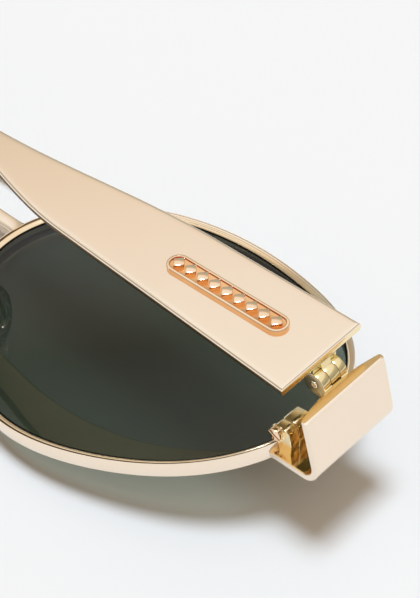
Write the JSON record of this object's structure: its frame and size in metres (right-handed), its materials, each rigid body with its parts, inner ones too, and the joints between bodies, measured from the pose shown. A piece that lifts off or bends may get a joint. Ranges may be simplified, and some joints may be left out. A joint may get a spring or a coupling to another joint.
{
  "type": "aviator sunglasses",
  "caption": "Gold metal sunglasses with dark green curved lenses, wide flat temples that fold on screwed hinges, a double bridge and tilting nose pads.",
  "frame": {"origin": "on the surface that the lens fronts rest on, midway between the two side plates and at the middle of the outline's height", "axes": "+X to the wearer's right, +Y up on the wearer's face, +Z backwards, out of the surface that the lenses rest on"},
  "size_m": [0.1438, 0.0466, 0.158],
  "materials": {
    "champagne_gold": "polished champagne gold plating",
    "fitting_gold": "bright yellow gold plating on the hinges, screws and locking blocks",
    "tinted_lens": "grey-green tint, clear gloss",
    "silicone": "clear, soft satin",
    "tip_acetate": "dark mottled brown, polished"
  },
  "bodies": {
    "front": {"bridge": "champagne_gold", "brow_bar": "champagne_gold", "rim_right": "champagne_gold", "rim_left": "champagne_gold", "lens_right": "tinted_lens", "lens_left": "tinted_lens", "endpiece_right": "champagne_gold", "endpiece_left": "champagne_gold", "closing_block_low_right": "fitting_gold", "closing_block_low_left": "fitting_gold", "closing_block_high_right": "fitting_gold", "closing_block_high_left": "fitting_gold", "rim_screw_right": "fitting_gold", "rim_screw_left": "fitting_gold", "hinge_leaf_front_right": "fitting_gold", "hinge_leaf_front_left": "fitting_gold", "hinge_screw_right": "fitting_gold", "hinge_screw_left": "fitting_gold", "pad_arm_right": "champagne_gold", "pad_arm_left": "champagne_gold", "pad_box_right": "champagne_gold", "pad_box_left": "champagne_gold", "pad_screw_right": "fitting_gold", "pad_screw_left": "fitting_gold"},
    "right_temple": {"temple_right": "champagne_gold", "hinge_leaf_temple_right": "fitting_gold", "plaque_right": "fitting_gold", "temple_tip_right": "tip_acetate"},
    "right_pad": {"nose_pad_right": "silicone", "pad_stem_right": "champagne_gold"},
    "left_temple": {"temple_left": "champagne_gold", "hinge_leaf_temple_left": "fitting_gold", "plaque_left": "fitting_gold", "temple_tip_left": "tip_acetate"},
    "left_pad": {"nose_pad_left": "silicone", "pad_stem_left": "champagne_gold"}
  },
  "joints": [
    {"name": "right_temple_fold", "type": "hinge", "parent": "front", "child": "right_temple", "pos_m": [0.06722, 0.0005, 0.02124], "axis": [0, 1, 0], "range_deg": [0, 83]},
    {"name": "left_temple_fold", "type": "hinge", "parent": "front", "child": "left_temple", "pos_m": [-0.06722, 0.0005, 0.02124], "axis": [0, 1, 0], "range_deg": [0, 78.5]},
    {"name": "right_pad_tilt", "type": "hinge", "parent": "front", "child": "right_pad", "pos_m": [0.01117, -0.00395, 0.00869], "axis": [0.4226, 0, 0.9063], "range_deg": [-8, 8]},
    {"name": "left_pad_tilt", "type": "hinge", "parent": "front", "child": "left_pad", "pos_m": [-0.01117, -0.00395, 0.00869], "axis": [-0.4226, 0, 0.9063], "range_deg": [-8, 8]}
  ]
}
